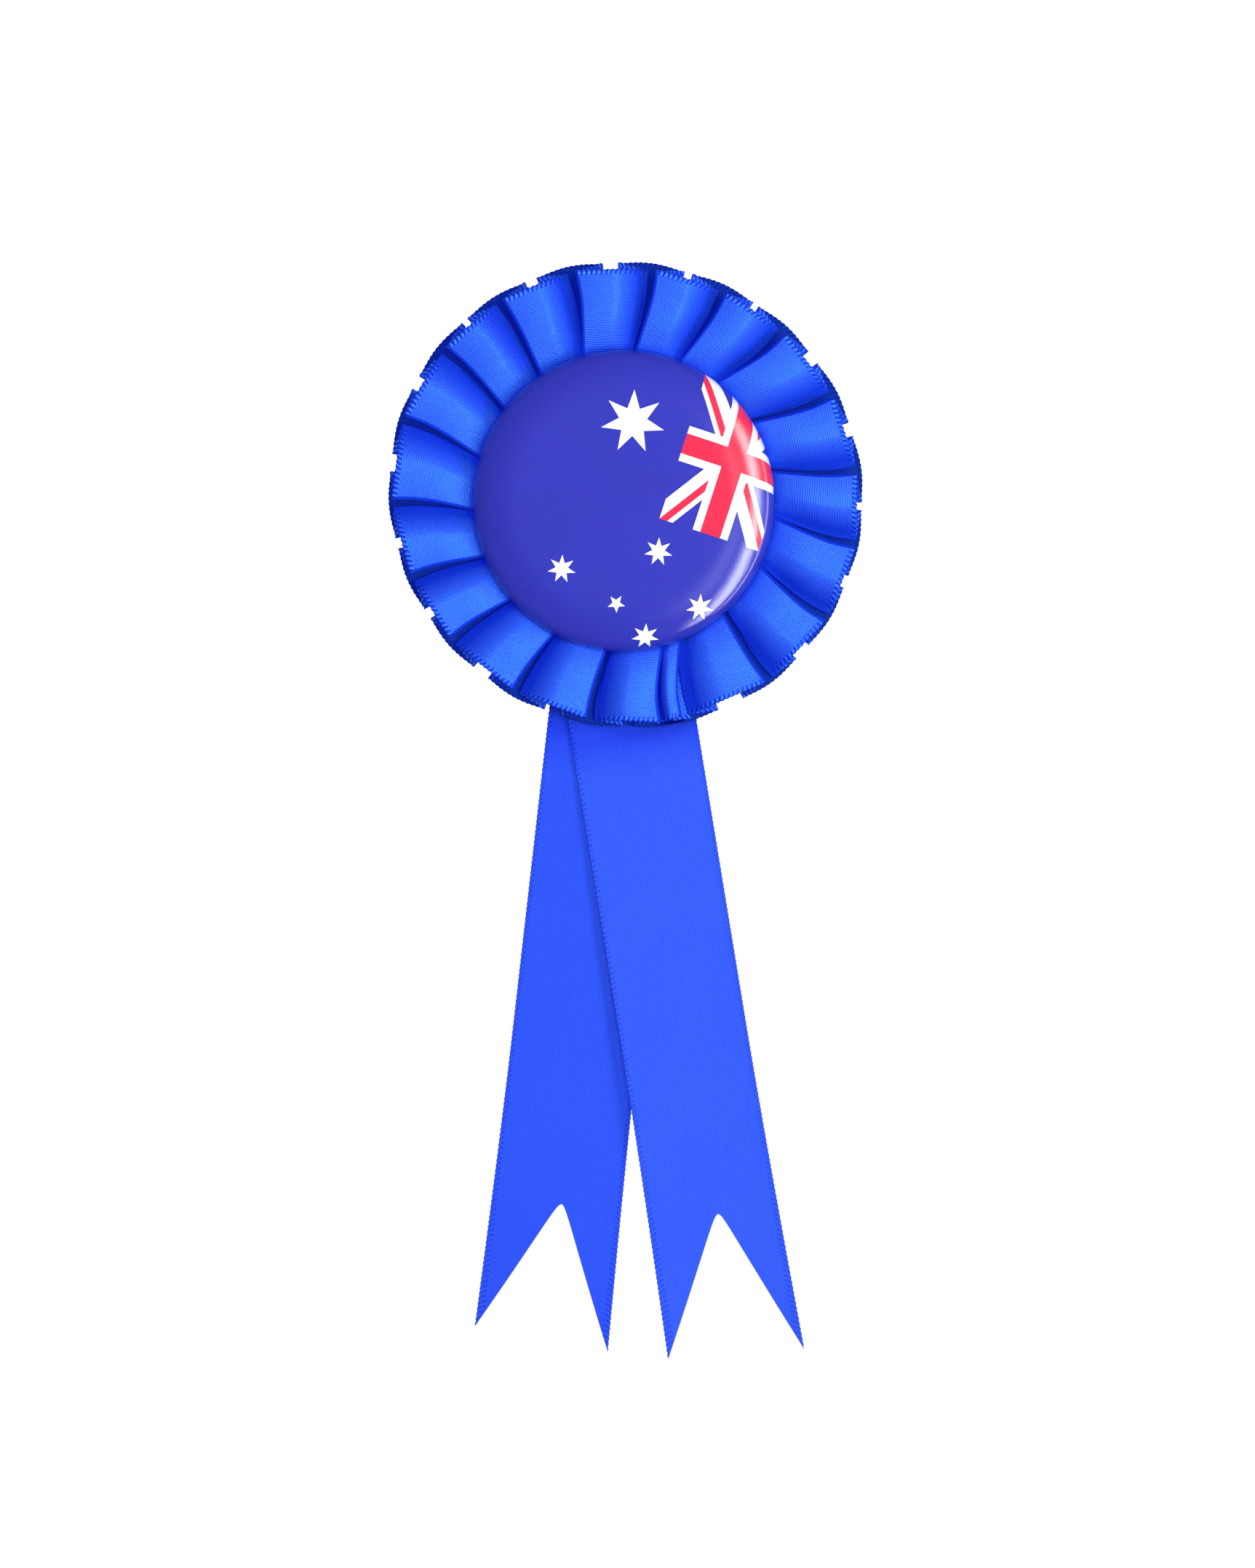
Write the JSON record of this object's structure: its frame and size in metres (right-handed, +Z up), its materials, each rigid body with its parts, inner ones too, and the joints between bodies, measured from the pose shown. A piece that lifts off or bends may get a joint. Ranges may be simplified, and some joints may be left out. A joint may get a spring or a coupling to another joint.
{
  "type": "award rosette",
  "caption": "Pleated satin award rosette with a domed button badge, two swallow-tailed ribbon tails and a brooch pin on the back.",
  "frame": {"origin": "a point on the flat of the back card's rear face, 18 mm below the middle of the ring and under the brooch pin", "axes": "+Z up as worn, the front looks along -Y, +X is to the right seen from the front"},
  "size_m": [0.0902, 0.0215, 0.2117],
  "materials": {
    "satin_front": "royal blue satin",
    "satin_rear": "royal blue satin, in shadow",
    "badge_print": "printed paper under clear film",
    "badge_film": "clear glossy film",
    "tinplate": "rolled tinplate",
    "bright_steel": "nickel-plated steel",
    "card": "uncoated white board",
    "foam": "white foam tape",
    "glue": "set glue"
  },
  "bodies": {
    "rosette": {"badge_film": "badge_film", "badge_print": "badge_print", "badge_shell": "tinplate", "badge_back_plate": "tinplate", "badge_pad": "foam", "pleated_ribbon": "satin_front", "pleat_glue_ring": "glue", "left_tail_root": "satin_rear", "right_tail_root": "satin_front", "back_card": "card", "card_adhesive": "glue", "front_card": "card", "upper_tail_staple": "bright_steel", "lower_tail_staple": "bright_steel", "pin_pad": "foam", "pin_bar": "bright_steel", "pin_rivet": "bright_steel", "pin_catch": "bright_steel"},
    "needle": {"pin_needle": "bright_steel"},
    "lock": {"pin_lock": "bright_steel"},
    "left_tail_free": {"left_tail": "satin_rear"},
    "right_tail_free": {"right_tail": "satin_front"}
  },
  "joints": [
    {"name": "pin_open", "type": "hinge", "parent": "rosette", "child": "needle", "pos_m": [-0.016, 0.005, 0.03], "axis": [0, 0, 1], "range_deg": [0, 80]},
    {"name": "pin_lock_turn", "type": "hinge", "parent": "rosette", "child": "lock", "pos_m": [0.0153, 0.005, 0.03], "axis": [1, 0, 0], "range_deg": [0, 132]},
    {"name": "left_tail_swing", "type": "hinge", "parent": "rosette", "child": "left_tail_free", "pos_m": [-0.0031, -0.00225, -0.0276], "axis": [0.9936, 0, -0.1132], "range_deg": [0, 70]},
    {"name": "right_tail_swing", "type": "hinge", "parent": "rosette", "child": "right_tail_free", "pos_m": [0.0017, -0.00285, -0.0276], "axis": [-0.9869, 0, -0.1616], "range_deg": [0, 70]}
  ]
}
